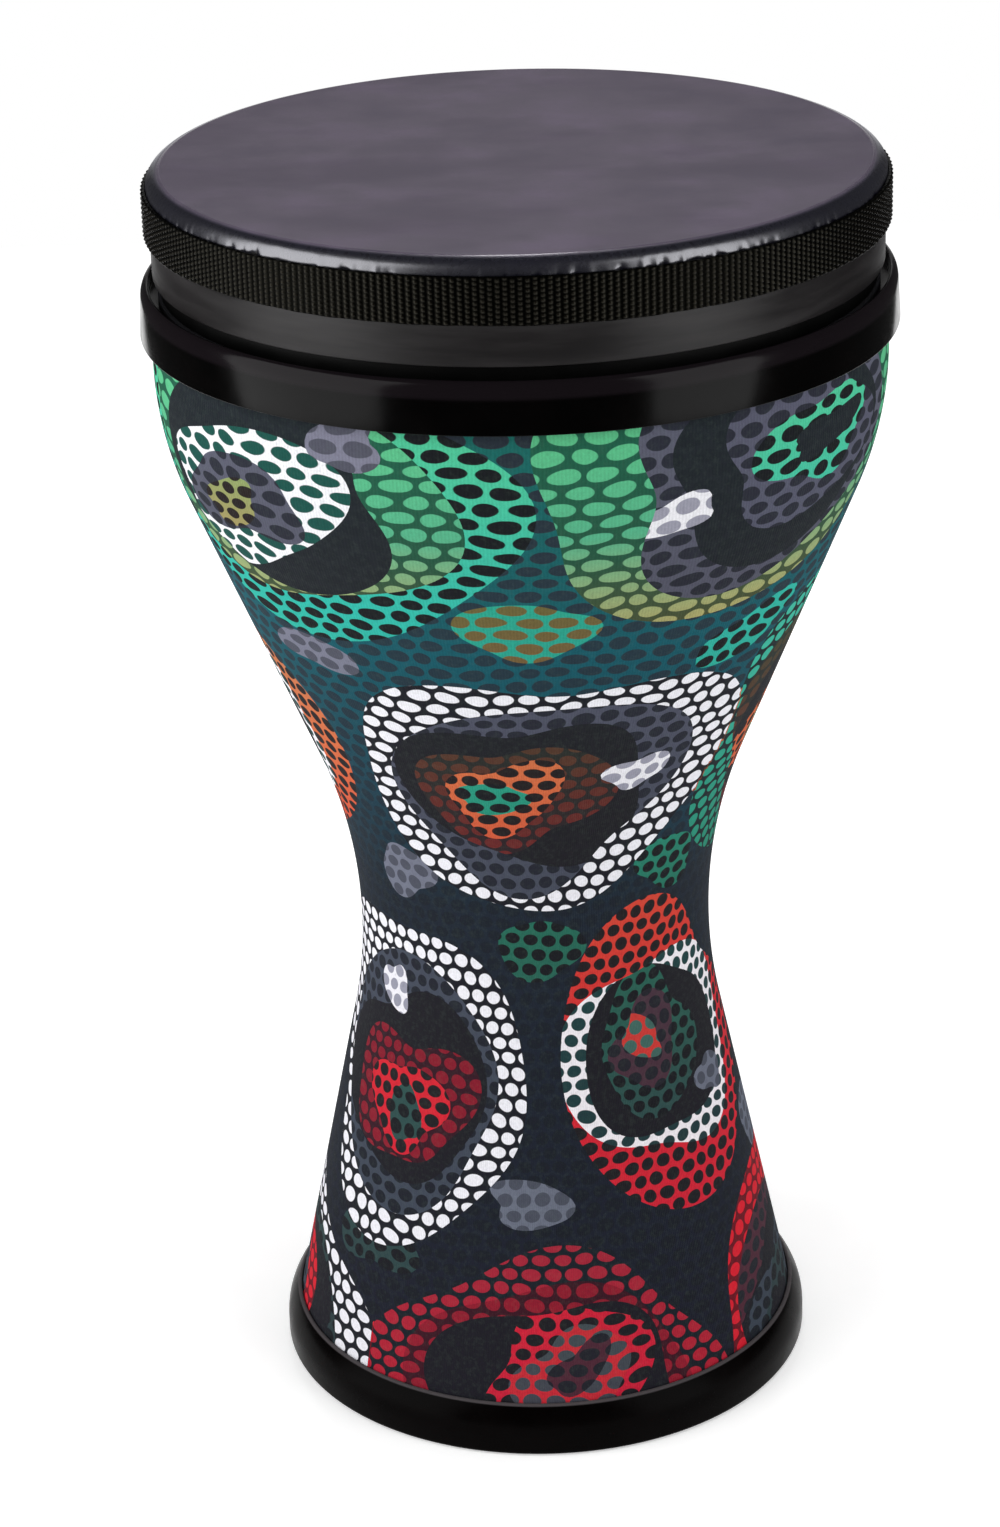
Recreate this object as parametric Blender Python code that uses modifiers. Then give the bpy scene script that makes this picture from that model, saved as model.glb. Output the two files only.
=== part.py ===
# Goblet drum with a tuned head that lifts off. Metres, +Z up.
# The origin is on the drum's axis, on the floor under the foot ring.

import math

import bmesh
import bpy
from mathutils import Matrix, Vector

# Fits
gap = 0.0003
drop_in_clearance = 0.0004

# Outside shape, over the printed sleeve
drum_height = 0.546
bowl_wall_height = 0.0247
waist_radius = 0.0762
waist_height = 0.2084
flare_angle = 12.0

# Radius of each bend, as a share of the height from the waist to the bowl's straight wall
shoulder_bend_share = 0.5558
waist_bend_share = 0.8713

# Walls
sleeve_thickness = 0.0008
shell_wall = 0.005
coupler_wall = 0.003
coupler_length = 0.052

# Head, downwards from its top
head_radius = 0.1524
head_overhang = 0.0006
film_thickness = 0.0004
film_shoulder = 0.0066
film_turn_in = 0.0015
webbing_thickness = 0.0015
webbing_width = 0.019
webbing_edge = 0.0004
webbing_joint = 0.0006
band_height = 0.0168
band_chamfer = 0.0006
frame_wall = 0.0084
bearing_bevel = 0.0015
bevel_drop = 0.0025
skirt_setback = 0.0029
skirt_wall = 0.0025
skirt_seat = 0.012
skirt_chamfer = 0.0006

# Collar on the bowl's rim
collar_reveal = 0.0042
collar_height = 0.021
collar_wall = 0.0042
collar_draft = 0.0011
collar_edge = 0.0006
lip_wall = 0.0033
lip_round = 0.0030
trough_depth = 0.0057
flange_thickness = 0.003
clasp_wall = 0.0026
rib_rise = 0.0045
sleeve_tuck = 0.003
gasket_thickness = 0.002
gasket_margin = 0.001

# Collar screws, driven outwards from inside the bowl
screw_count = 8
screw_drop = 0.005
screw_radius = 0.00175
screw_bite = 0.002
screw_head_radius = 0.004
screw_head_height = 0.0024
screw_head_round = 0.0014
first_screw_angle = 26.25

# Foot ring
foot_bulge = 0.0049
foot_floor = 0.0047
foot_lip_height = 0.0225
foot_lip_wall = 0.002
foot_lip_round = 0.0007
foot_bulge_height = 0.008
foot_edge = 0.002
foot_inner_wall = 0.0024
foot_inner_height = 0.016
sleeve_hem = 0.001

# Roundness
ring_segments = 48
screw_segments = 12
bend_steps = 4
flare_steps = 2
small_steps = 3

# Heights, worked out downwards from the playing surface
shoulder_height = drum_height - film_shoulder
webbing_top = shoulder_height
webbing_bottom = webbing_top - webbing_width
film_bottom = webbing_bottom + film_turn_in
frame_top = drum_height - film_thickness - gap
frame_bottom = webbing_bottom - band_height
rebate_top = frame_bottom + skirt_seat
skirt_top = rebate_top - gap
collar_top = frame_bottom - collar_reveal
collar_bottom = collar_top - collar_height
trough_floor = collar_top - trough_depth
channel_top = trough_floor - flange_thickness
rim_height = channel_top - gap
rib_top = trough_floor + rib_rise
gasket_bottom = trough_floor + gap
gasket_top = gasket_bottom + gasket_thickness
skirt_bottom = gasket_top + gap
sleeve_top = collar_bottom + sleeve_tuck
screw_height = rim_height - screw_drop
shoulder_center_height = rim_height - bowl_wall_height
shell_bottom = foot_floor + gap
sleeve_bottom = shell_bottom + sleeve_hem

# Radii, worked out inwards
film_radius = head_radius - webbing_thickness - gap
film_flat_radius = film_radius - film_shoulder
frame_radius = film_radius - film_thickness - gap
bore_radius = frame_radius - frame_wall
skirt_radius = frame_radius - skirt_setback
skirt_inner_radius = skirt_radius - skirt_wall
rebate_radius = skirt_radius + gap
rib_radius = skirt_inner_radius - drop_in_clearance
bowl_radius = head_radius - head_overhang
collar_inner_radius = bowl_radius + gap
collar_radius = collar_inner_radius + collar_wall
collar_top_radius = collar_radius - collar_draft
lip_inner_radius = collar_top_radius - lip_wall

# How deep each surface lies under the outside of the sleeve
shell_depth = sleeve_thickness + gap
shell_inner_depth = shell_depth + shell_wall
coupler_depth = shell_inner_depth + gap
coupler_inner_depth = coupler_depth + coupler_wall

clasp_radius = bowl_radius - shell_inner_depth - gap
clasp_inner_radius = clasp_radius - clasp_wall

# The goblet's outline is a wall, a shoulder bend, a cone, a waist bend and a flare.
# Every surface of the shell keeps the bends' centres, so the walls stay even.
cone_depth = shoulder_center_height - waist_height
shoulder_bend = shoulder_bend_share * cone_depth
waist_bend = waist_bend_share * cone_depth
shoulder_center_radius = bowl_radius - shoulder_bend
waist_center_radius = waist_radius + waist_bend
flare_slope = math.tan(math.radians(flare_angle))

# The cone is the straight line that both bends run into, so its angle follows from them.
centers_apart = math.hypot(waist_center_radius - shoulder_center_radius, cone_depth)
centers_angle = math.atan2(cone_depth, waist_center_radius - shoulder_center_radius)
cone_angle = math.degrees(centers_angle - math.acos((shoulder_bend + waist_bend) / centers_apart))


def arc(center, radius, start, end, steps):
    points = []
    for step in range(steps + 1):
        angle = math.radians(start + (end - start) * step / steps)
        points.append((center[0] + radius * math.cos(angle), center[1] + radius * math.sin(angle)))
    return points


def waist_arc(depth, top_angle, bottom_angle, steps):
    center = (waist_center_radius, waist_height)
    return arc(center, waist_bend + depth, 180 - top_angle, 180 - bottom_angle, steps)


def waist_angle(depth, height):
    return math.degrees(math.asin((height - waist_height) / (waist_bend + depth)))


def flare_radius(depth, height):
    start = waist_arc(depth, 0, -flare_angle, 1)[-1]
    return start[0] + flare_slope * (start[1] - height)


def bowl_line(depth, top, bottom):
    shoulder = (shoulder_center_radius, shoulder_center_height)
    points = [(bowl_radius - depth, top)]
    points += arc(shoulder, shoulder_bend - depth, 0, -cone_angle, bend_steps)
    points += waist_arc(depth, cone_angle, waist_angle(depth, bottom), bend_steps)
    return points


def stem_line(depth, top, bottom):
    points = waist_arc(depth, waist_angle(depth, top), -flare_angle, flare_steps)
    points.append((flare_radius(depth, bottom), bottom))
    return points


def make_collection(name):
    collection = bpy.data.collections.new(name)
    bpy.context.scene.collection.children.link(collection)
    return collection


def make_material(name, color, roughness, metallic):
    material = bpy.data.materials.new(name)
    material.use_nodes = True
    shader = material.node_tree.nodes["Principled BSDF"]
    shader.inputs["Base Color"].default_value = (*color, 1.0)
    shader.inputs["Roughness"].default_value = roughness
    shader.inputs["Metallic"].default_value = metallic
    return material


def profile_mesh(name, points, closed):
    mesh = bmesh.new()
    vertices = [mesh.verts.new((radius, 0, height)) for radius, height in points]
    for first, second in zip(vertices, vertices[1:]):
        mesh.edges.new((first, second))
    if closed:
        mesh.edges.new((vertices[-1], vertices[0]))
    data = bpy.data.meshes.new(name)
    mesh.to_mesh(data)
    mesh.free()
    return data


def turned_mesh(name, points, segments, closed=True):
    profile = bpy.data.objects.new(name + "_profile", profile_mesh(name + "_profile", points, closed))
    bpy.context.scene.collection.objects.link(profile)
    screw = profile.modifiers.new("Turn", "SCREW")
    screw.axis = "Z"
    screw.angle = math.tau
    screw.steps = segments
    screw.render_steps = segments
    screw.use_merge_vertices = True
    screw.merge_threshold = 0.00001
    graph = bpy.context.evaluated_depsgraph_get()
    data = bpy.data.meshes.new_from_object(profile.evaluated_get(graph))
    data.name = name
    data.shade_smooth()
    data.set_sharp_from_angle(angle=math.radians(30))
    bpy.data.objects.remove(profile)
    return data


def add_object(name, data, material, collection, parent=None, location=(0, 0, 0)):
    part = bpy.data.objects.new(name, data)
    if material is not None and not data.materials:
        data.materials.append(material)
    part.location = location
    part.parent = parent
    collection.objects.link(part)
    return part


# Heights of a profile are given from the floor, so the object's own height is taken off.
def add_turned(name, points, material, collection, parent=None, base=0.0):
    local = [(radius, height - base) for radius, height in points]
    closed = points[0][0] > 0
    data = turned_mesh(name, local, ring_segments, closed)
    offset = base - (parent.location.z if parent else 0.0)
    return add_object(name, data, material, collection, parent, (0, 0, offset))


def between(outer, inner):
    return outer + inner[::-1]


def film_points():
    center = (film_flat_radius, shoulder_height)
    points = [(0, drum_height)]
    points += arc(center, film_shoulder, 90, 0, small_steps)
    points.append((film_radius, film_bottom))
    points.append((film_radius - film_thickness, film_bottom))
    points += arc(center, film_shoulder - film_thickness, 0, 90, small_steps)
    points.append((0, drum_height - film_thickness))
    return points


def frame_points():
    center = (film_flat_radius, shoulder_height)
    points = arc(center, film_shoulder - film_thickness - gap, 90, 0, small_steps)
    points.append((frame_radius, frame_bottom + band_chamfer))
    points.append((frame_radius - band_chamfer, frame_bottom))
    points.append((rebate_radius, frame_bottom))
    points.append((rebate_radius, rebate_top))
    points.append((bore_radius, rebate_top))
    points.append((bore_radius, frame_top - bevel_drop))
    points.append((bore_radius + bearing_bevel, frame_top))
    return points


def webbing_points():
    inner = head_radius - webbing_thickness
    return [
        (head_radius - webbing_edge, webbing_top),
        (head_radius, webbing_top - webbing_edge),
        (head_radius, webbing_bottom + webbing_edge),
        (head_radius - webbing_edge, webbing_bottom),
        (inner, webbing_bottom),
        (inner, webbing_top),
    ]


def skirt_points():
    return [
        (skirt_radius, skirt_top),
        (skirt_radius, skirt_bottom + skirt_chamfer),
        (skirt_radius - skirt_chamfer, skirt_bottom),
        (skirt_inner_radius, skirt_bottom),
        (skirt_inner_radius, skirt_top),
    ]


def gasket_points():
    return [
        (skirt_radius + gasket_margin, gasket_top),
        (skirt_radius + gasket_margin, gasket_bottom),
        (rib_radius + gap, gasket_bottom),
        (rib_radius + gap, gasket_top),
    ]


def collar_points():
    points = [(lip_inner_radius, collar_top)]
    lip_center = (collar_top_radius - lip_round, collar_top - lip_round)
    points += arc(lip_center, lip_round, 90, 0, small_steps)
    points.append((collar_radius, collar_bottom + collar_edge))
    points.append((collar_radius - collar_edge, collar_bottom))
    points.append((collar_inner_radius, collar_bottom))
    points.append((collar_inner_radius, channel_top))
    points.append((clasp_radius, channel_top))
    points.append((clasp_radius, collar_bottom))
    points.append((clasp_inner_radius, collar_bottom))
    points.append((clasp_inner_radius, rib_top))
    points.append((rib_radius, rib_top))
    points.append((rib_radius, trough_floor))
    points.append((lip_inner_radius, trough_floor))
    return points


def foot_points():
    lip_inner = flare_radius(-gap, foot_lip_height)
    lip_outer = lip_inner + foot_lip_wall
    lip_shoulder = foot_lip_height - foot_lip_round
    foot_radius = lip_outer + foot_bulge
    rise = lip_shoulder - foot_bulge_height
    bulge = (foot_bulge ** 2 + rise ** 2) / (2 * foot_bulge)
    bulge_center = (foot_radius - bulge, foot_bulge_height)
    bulge_start = math.degrees(math.asin(rise / bulge))
    channel_inner_depth = shell_inner_depth + gap
    inner_depth = channel_inner_depth + foot_inner_wall

    points = [(lip_outer - foot_lip_round, foot_lip_height)]
    points += arc(bulge_center, bulge, bulge_start, 0, bend_steps)
    points += arc((foot_radius - foot_edge, foot_edge), foot_edge, 0, -90, small_steps)
    points.append((flare_radius(inner_depth, 0), 0))
    points.append((flare_radius(inner_depth, foot_inner_height), foot_inner_height))
    points.append((flare_radius(channel_inner_depth, foot_inner_height), foot_inner_height))
    points.append((flare_radius(channel_inner_depth, foot_floor), foot_floor))
    points.append((flare_radius(-gap, foot_floor), foot_floor))
    points.append((lip_inner, foot_lip_height))
    return points


# The screws stand in the middle of a flat of the turned rings, where the rings lie nearer the axis.
def flat_distance(radius):
    return radius * math.cos(math.pi / ring_segments)


def screw_placement(index):
    angle = math.radians(first_screw_angle + 360 * index / screw_count)
    outwards = Vector((math.cos(angle), math.sin(angle), 0))
    seat = outwards * (flat_distance(clasp_inner_radius) - gap)
    seat.z = screw_height
    turn = (-outwards).to_track_quat("Z", "Y").to_matrix().to_4x4()
    return Matrix.Translation(seat) @ turn


def screw_length():
    tip = flat_distance(collar_inner_radius) + screw_bite
    return tip - (flat_distance(clasp_inner_radius) - gap)


def screw_points():
    return [
        (0, screw_head_height),
        (screw_head_radius - screw_head_round, screw_head_height),
        (screw_head_radius, screw_head_height - screw_head_round),
        (screw_head_radius, 0),
        (screw_radius, 0),
        (screw_radius, -screw_length()),
        (0, -screw_length()),
    ]


def add_screws(material, collection):
    data = turned_mesh("collar_screw", screw_points(), screw_segments, closed=False)
    for index in range(screw_count):
        name = f"collar_screw_{index + 1}"
        screw = add_object(name, data, material, collection)
        screw.matrix_world = screw_placement(index)


def add_cutter(name, mesh, collection):
    data = bpy.data.meshes.new(name)
    mesh.to_mesh(data)
    mesh.free()
    cutter = add_object(name, data, None, collection)
    cutter.hide_render = True
    cutter.display_type = "WIRE"
    return cutter


# Each hole starts inside the bowl and ends blind in the collar's outer wall.
def add_screw_hole_cutter(collection):
    start = screw_head_height
    end = -screw_length() - gap
    mesh = bmesh.new()
    for index in range(screw_count):
        middle = Matrix.Translation((0, 0, (start + end) / 2))
        bmesh.ops.create_cone(
            mesh,
            cap_ends=True,
            segments=screw_segments,
            radius1=screw_radius + gap,
            radius2=screw_radius + gap,
            depth=start - end,
            matrix=screw_placement(index) @ middle,
        )
    return add_cutter("screw_holes", mesh, collection)


# The webbing's two ends butt together at the back of the drum.
def add_webbing_joint_cutter(collection):
    mesh = bmesh.new()
    size = (webbing_joint, 4 * webbing_thickness, 2 * webbing_width)
    center = (0, head_radius, (webbing_top + webbing_bottom) / 2)
    bmesh.ops.create_cube(mesh, size=1, matrix=Matrix.LocRotScale(center, None, size))
    return add_cutter("webbing_joint", mesh, collection)


def cut(part, cutter):
    boolean = part.modifiers.new("Cut", "BOOLEAN")
    boolean.operation = "DIFFERENCE"
    boolean.solver = "EXACT"
    boolean.object = cutter


def build():
    for old in list(bpy.data.objects):
        bpy.data.objects.remove(old)
    drum = make_collection("goblet_drum")
    cutters = make_collection("cutters")

    film = make_material("playing_film", (0.085, 0.075, 0.095), 0.55, 0.0)
    frame = make_material("frame_laminate", (0.030, 0.028, 0.030), 0.45, 0.0)
    webbing = make_material("nylon_webbing", (0.010, 0.010, 0.009), 0.85, 0.0)
    skirt = make_material("skirt_plastic", (0.008, 0.008, 0.008), 0.6, 0.0)
    gloss = make_material("collar_plastic", (0.006, 0.006, 0.006), 0.18, 0.0)
    foam = make_material("gasket_foam", (0.020, 0.020, 0.020), 0.95, 0.0)
    shell = make_material("shell_laminate", (0.090, 0.070, 0.050), 0.7, 0.0)
    coupler = make_material("coupler_laminate", (0.120, 0.090, 0.060), 0.7, 0.0)
    print_cloth = make_material("printed_knit", (0.020, 0.060, 0.060), 0.8, 0.0)
    rubber = make_material("foot_rubber", (0.008, 0.008, 0.008), 0.35, 0.0)
    steel = make_material("screw_steel", (0.50, 0.50, 0.50), 0.35, 1.0)

    # The lift-off head hangs on an empty that stands on the drum's axis, at the skirt's lower edge.
    head = bpy.data.objects.new("head_lift", None)
    head.location = (0, 0, skirt_bottom)
    drum.objects.link(head)
    add_turned("head_film", film_points(), film, drum, head, film_bottom)
    add_turned("head_frame", frame_points(), frame, drum, head, frame_bottom)
    band = add_turned("webbing_band", webbing_points(), webbing, drum, head, webbing_bottom)
    add_turned("locating_skirt", skirt_points(), skirt, drum, head, skirt_bottom)
    cut(band, add_webbing_joint_cutter(cutters))

    screw_holes = add_screw_hole_cutter(cutters)
    collar = add_turned("collar_ring", collar_points(), gloss, drum, base=collar_bottom)
    cut(collar, screw_holes)
    add_turned("seat_gasket", gasket_points(), foam, drum, base=gasket_bottom)
    add_screws(steel, drum)

    bowl_foot = waist_height + gap / 2
    stem_head = waist_height - gap / 2
    bowl_outer = bowl_line(shell_depth, rim_height, bowl_foot)
    bowl_inner = bowl_line(shell_inner_depth, rim_height, bowl_foot)
    bowl = add_turned("bowl_shell", between(bowl_outer, bowl_inner), shell, drum, base=bowl_foot)
    cut(bowl, screw_holes)

    stem_outer = stem_line(shell_depth, stem_head, shell_bottom)
    stem_inner = stem_line(shell_inner_depth, stem_head, shell_bottom)
    add_turned("stem_shell", between(stem_outer, stem_inner), shell, drum, base=shell_bottom)

    reach = coupler_length / 2
    coupler_sides = []
    for depth in (coupler_depth, coupler_inner_depth):
        top_angle = waist_angle(depth, waist_height + reach)
        bottom_angle = waist_angle(depth, waist_height - reach)
        coupler_sides.append(waist_arc(depth, top_angle, bottom_angle, bend_steps))
    coupler_points = between(*coupler_sides)
    add_turned("throat_coupler", coupler_points, coupler, drum, base=waist_height - reach)

    sleeve_sides = []
    for depth in (0, sleeve_thickness):
        upper = bowl_line(depth, sleeve_top, waist_height)
        lower = stem_line(depth, waist_height, sleeve_bottom)
        sleeve_sides.append(upper + lower[1:])
    add_turned("printed_sleeve", between(*sleeve_sides), print_cloth, drum, base=sleeve_bottom)
    add_turned("foot_ring", foot_points(), rubber, drum)


build()
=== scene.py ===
import math
import random

import bmesh
import bpy
import numpy as np
from mathutils import Matrix, Vector


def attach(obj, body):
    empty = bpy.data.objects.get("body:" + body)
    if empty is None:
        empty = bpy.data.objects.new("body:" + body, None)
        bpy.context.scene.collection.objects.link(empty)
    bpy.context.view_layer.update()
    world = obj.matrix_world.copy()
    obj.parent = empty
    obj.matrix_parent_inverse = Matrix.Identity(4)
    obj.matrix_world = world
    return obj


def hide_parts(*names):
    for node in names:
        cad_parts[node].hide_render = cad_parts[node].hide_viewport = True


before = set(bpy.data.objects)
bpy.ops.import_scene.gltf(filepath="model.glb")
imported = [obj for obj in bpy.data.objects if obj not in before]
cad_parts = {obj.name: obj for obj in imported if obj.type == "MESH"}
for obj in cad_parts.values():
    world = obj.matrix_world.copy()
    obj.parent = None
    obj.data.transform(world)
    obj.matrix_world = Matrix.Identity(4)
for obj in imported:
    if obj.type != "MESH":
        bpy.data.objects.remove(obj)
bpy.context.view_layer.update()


# turning, rounding and placing pieces

def bend(centre, radius, start, end, steps):
    points = []
    for step in range(steps + 1):
        angle = math.radians(start + (end - start) * step / steps)
        points.append((centre[0] + radius * math.cos(angle), centre[1] + radius * math.sin(angle)))
    return points


def turn(line, steps, closed=True, start=0.0, sweep=math.tau):
    # a line of (radius, height) points is spun through one sector, and the sector is copied round
    mesh = bmesh.new()
    cosine, sine = math.cos(start), math.sin(start)
    verts = [mesh.verts.new((radius * cosine, radius * sine, z)) for radius, z in line]
    edges = [mesh.edges.new(pair) for pair in zip(verts, verts[1:])]
    if closed:
        edges.append(mesh.edges.new((verts[-1], verts[0])))
    sectors = next(count for count in (26, 24, 12, 6, 1) if steps % count == 0)
    bmesh.ops.spin(mesh, geom=verts + edges, cent=(0, 0, 0), axis=(0, 0, 1), dvec=(0, 0, 0),
                   angle=sweep / sectors, steps=steps // sectors, use_merge=False)
    first = mesh.verts[:] + mesh.edges[:] + mesh.faces[:]
    for sector in range(1, sectors):
        copied = bmesh.ops.duplicate(mesh, geom=first)["geom"]
        moved = [part for part in copied if isinstance(part, bmesh.types.BMVert)]
        turned = Matrix.Rotation(sweep * sector / sectors, 3, "Z")
        bmesh.ops.rotate(mesh, verts=moved, cent=(0, 0, 0), matrix=turned)
    bmesh.ops.remove_doubles(mesh, verts=mesh.verts, dist=2e-6)
    if sweep < math.tau - 1e-6:
        ends = [edge for edge in mesh.edges if edge.is_boundary]
        bmesh.ops.holes_fill(mesh, edges=ends, sides=0)
    bmesh.ops.recalc_face_normals(mesh, faces=mesh.faces)
    return mesh


def roundEdges(mesh, width, segments=3, sharperThan=32):
    limit = math.radians(sharperThan)
    edges = [edge for edge in mesh.edges if edge.is_manifold and edge.calc_face_angle() > limit]
    bmesh.ops.bevel(mesh, geom=edges, offset=width, offset_type="OFFSET", affect="EDGES",
                    segments=segments, profile=0.5, material=-1, clamp_overlap=True)
    bmesh.ops.remove_doubles(mesh, verts=mesh.verts, dist=1e-6)
    bmesh.ops.recalc_face_normals(mesh, faces=mesh.faces)


def place(name, mesh, material, body, node, smoothUnder=38):
    data = bpy.data.meshes.new(name)
    mesh.to_mesh(data)
    mesh.free()
    data.shade_smooth()
    data.set_sharp_from_angle(angle=math.radians(smoothUnder))
    data.materials.append(material)
    piece = bpy.data.objects.new(name, data)
    bpy.context.scene.collection.objects.link(piece)
    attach(piece, body)
    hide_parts(node)
    return piece


def placeSquareRing(name, ring, material, body, node):
    line = [(ring["outer"], ring["top"]), (ring["outer"], ring["bottom"]),
            (ring["inner"], ring["bottom"]), (ring["inner"], ring["top"])]
    mesh = turn(line, ring["columns"])
    roundEdges(mesh, ring["softEdge"])
    place(name, mesh, material, body, node)


# node shortcuts

def tint(code):
    # a written colour such as 5ACD82, as the shader wants it
    parts = [int(code[i:i + 2], 16) / 255 for i in (0, 2, 4)]
    linear = [c / 12.92 if c <= 0.04045 else ((c + 0.055) / 1.055) ** 2.4 for c in parts]
    return (*linear, 1.0)


def newMaterial(name, colour, roughness, metallic=0.0, gloss=0.5):
    material = bpy.data.materials.new(name)
    material.use_nodes = True
    shader = material.node_tree.nodes["Principled BSDF"]
    shader.inputs["Base Color"].default_value = colour
    shader.inputs["Roughness"].default_value = roughness
    shader.inputs["Metallic"].default_value = metallic
    shader.inputs["Specular IOR Level"].default_value = gloss
    return material, material.node_tree, shader


def put(tree, socket, value):
    if isinstance(value, bpy.types.NodeSocket):
        tree.links.new(value, socket)
    else:
        socket.default_value = value


def calc(tree, operation, first, second=0.0, third=0.0):
    node = tree.nodes.new("ShaderNodeMath")
    node.operation = operation
    for socket, value in zip(node.inputs, (first, second, third)):
        put(tree, socket, value)
    return node.outputs[0]


def add(tree, first, second):
    return calc(tree, "ADD", first, second)


def subtract(tree, first, second):
    return calc(tree, "SUBTRACT", first, second)


def times(tree, first, second):
    return calc(tree, "MULTIPLY", first, second)


def larger(tree, first, second):
    return calc(tree, "MAXIMUM", first, second)


def length(tree, x, y):
    return calc(tree, "SQRT", add(tree, times(tree, x, x), times(tree, y, y)))


def blendValue(tree, factor, first, second):
    node = tree.nodes.new("ShaderNodeMix")
    node.data_type = "FLOAT"
    put(tree, node.inputs[0], factor)
    put(tree, node.inputs[2], first)
    put(tree, node.inputs[3], second)
    return node.outputs[0]


def blendColour(tree, factor, first, second, mode="MIX"):
    node = tree.nodes.new("ShaderNodeMix")
    node.data_type = "RGBA"
    node.blend_type = mode
    put(tree, node.inputs[0], factor)
    put(tree, node.inputs[6], first)
    put(tree, node.inputs[7], second)
    return node.outputs[2]


def spread(tree, value, low, high, toLow=0.0, toHigh=1.0, smooth=False):
    node = tree.nodes.new("ShaderNodeMapRange")
    node.interpolation_type = "SMOOTHSTEP" if smooth else "LINEAR"
    put(tree, node.inputs["Value"], value)
    for key, number in (("From Min", low), ("From Max", high), ("To Min", toLow), ("To Max", toHigh)):
        node.inputs[key].default_value = number
    return node.outputs["Result"]


def ramp(tree, value, stops):
    node = tree.nodes.new("ShaderNodeValToRGB")
    elements = node.color_ramp.elements
    while len(elements) < len(stops):
        elements.new(0.5)
    for element, (position, code) in zip(elements, stops):
        element.position = position
        element.color = tint(code)
    put(tree, node.inputs[0], value)
    return node.outputs["Color"]


def ownCoordinates(tree, scale=(1, 1, 1)):
    source = tree.nodes.new("ShaderNodeTexCoord")
    mapping = tree.nodes.new("ShaderNodeMapping")
    mapping.inputs["Scale"].default_value = scale
    tree.links.new(source.outputs["Object"], mapping.inputs["Vector"])
    return mapping.outputs["Vector"]


def noise(tree, vector, scale, detail=3.0, roughness=0.55):
    node = tree.nodes.new("ShaderNodeTexNoise")
    tree.links.new(vector, node.inputs["Vector"])
    node.inputs["Scale"].default_value = scale
    node.inputs["Detail"].default_value = detail
    node.inputs["Roughness"].default_value = roughness
    return node.outputs["Fac"]


def splitAxes(tree, vector):
    node = tree.nodes.new("ShaderNodeSeparateXYZ")
    tree.links.new(vector, node.inputs[0])
    return node.outputs


def axisDistance(tree, own):
    x, y, _ = splitAxes(tree, own)
    return length(tree, x, y)


def paint(tree, shader, colour, roughness):
    tree.links.new(colour, shader.inputs["Base Color"])
    tree.links.new(roughness, shader.inputs["Roughness"])


def relief(tree, shader, height, strength, distance):
    node = tree.nodes.new("ShaderNodeBump")
    node.inputs["Strength"].default_value = strength
    node.inputs["Distance"].default_value = distance
    tree.links.new(height, node.inputs["Height"])
    tree.links.new(node.outputs["Normal"], shader.inputs["Normal"])


# the goblet's outside line, measured over the sleeve

goblet = {
    "shoulderCentre": (0.00879, 0.4657),
    "shoulderBend": 0.14301,
    "waistCentre": (0.30039, 0.2084),
    "waistBend": 0.22419,
    "coneAngle": 22.199,
    "flareAngle": 12.0,
    "sleeveDeep": 0.0008,   # from here inwards: sleeve, glue gap, shell, glue gap, coupler
    "glueGap": 0.0003,
    "shellWall": 0.005,
    "couplerWall": 0.003,
}


def gobletRadius(z, depth=0.0):
    shoulder, waist = goblet["shoulderCentre"], goblet["waistCentre"]
    bowlBend, stemBend = goblet["shoulderBend"] - depth, goblet["waistBend"] + depth
    cone, flare = math.radians(goblet["coneAngle"]), math.radians(goblet["flareAngle"])
    if z >= shoulder[1]:
        return shoulder[0] + bowlBend
    if z >= shoulder[1] - bowlBend * math.sin(cone):
        return shoulder[0] + math.sqrt(bowlBend ** 2 - (shoulder[1] - z) ** 2)
    coneFoot = waist[1] + stemBend * math.sin(cone)
    if z >= coneFoot:
        return waist[0] - stemBend * math.cos(cone) + (z - coneFoot) * math.tan(cone)
    flareHead = waist[1] - stemBend * math.sin(flare)
    if z >= flareHead:
        return waist[0] - math.sqrt(stemBend ** 2 - (z - waist[1]) ** 2)
    return waist[0] - stemBend * math.cos(flare) + (flareHead - z) * math.tan(flare)


def gobletLine(top, bottom, depth, pitch):
    rows = max(2, round(abs(top - bottom) / pitch))
    heights = [top + (bottom - top) * row / rows for row in range(rows + 1)]
    return [(gobletRadius(z, depth), z) for z in heights]


# camera, at the photograph's place

cameraSettings = {
    "lens": 92.87,
    "sensor": 36.0,
    "place": (0.0, -1.5637, 0.9579),
    "lookDown": 23.439,
    "pan": -0.4585,
    "tilt": -0.1069,
    "roll": -1.497,
}


def tilted(first, second, angle):
    # a pair of square directions, turned from the first towards the second
    cosine, sine = math.cos(angle), math.sin(angle)
    return first * cosine + second * sine, second * cosine - first * sine


def makeCamera():
    down, pan, tilt, roll = (math.radians(cameraSettings[key])
                             for key in ("lookDown", "pan", "tilt", "roll"))
    ahead = Vector((0, math.cos(down), -math.sin(down)))
    right = Vector((1, 0, 0))
    up = Vector((0, math.sin(down), math.cos(down)))
    ahead, right = tilted(ahead, right, pan)
    ahead, up = tilted(ahead, up, tilt)
    right, up = tilted(right, up, roll)
    data = bpy.data.cameras.new("camera")
    data.lens = cameraSettings["lens"]
    data.sensor_width = cameraSettings["sensor"]
    camera = bpy.data.objects.new("camera", data)
    turned = Matrix((right, up, -ahead)).transposed().to_4x4()
    camera.matrix_world = Matrix.Translation(cameraSettings["place"]) @ turned
    bpy.context.scene.collection.objects.link(camera)
    bpy.context.scene.camera = camera


makeCamera()
print("camera placed")


# printed sleeve: stretch knit over bowl, waist and stem

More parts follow.
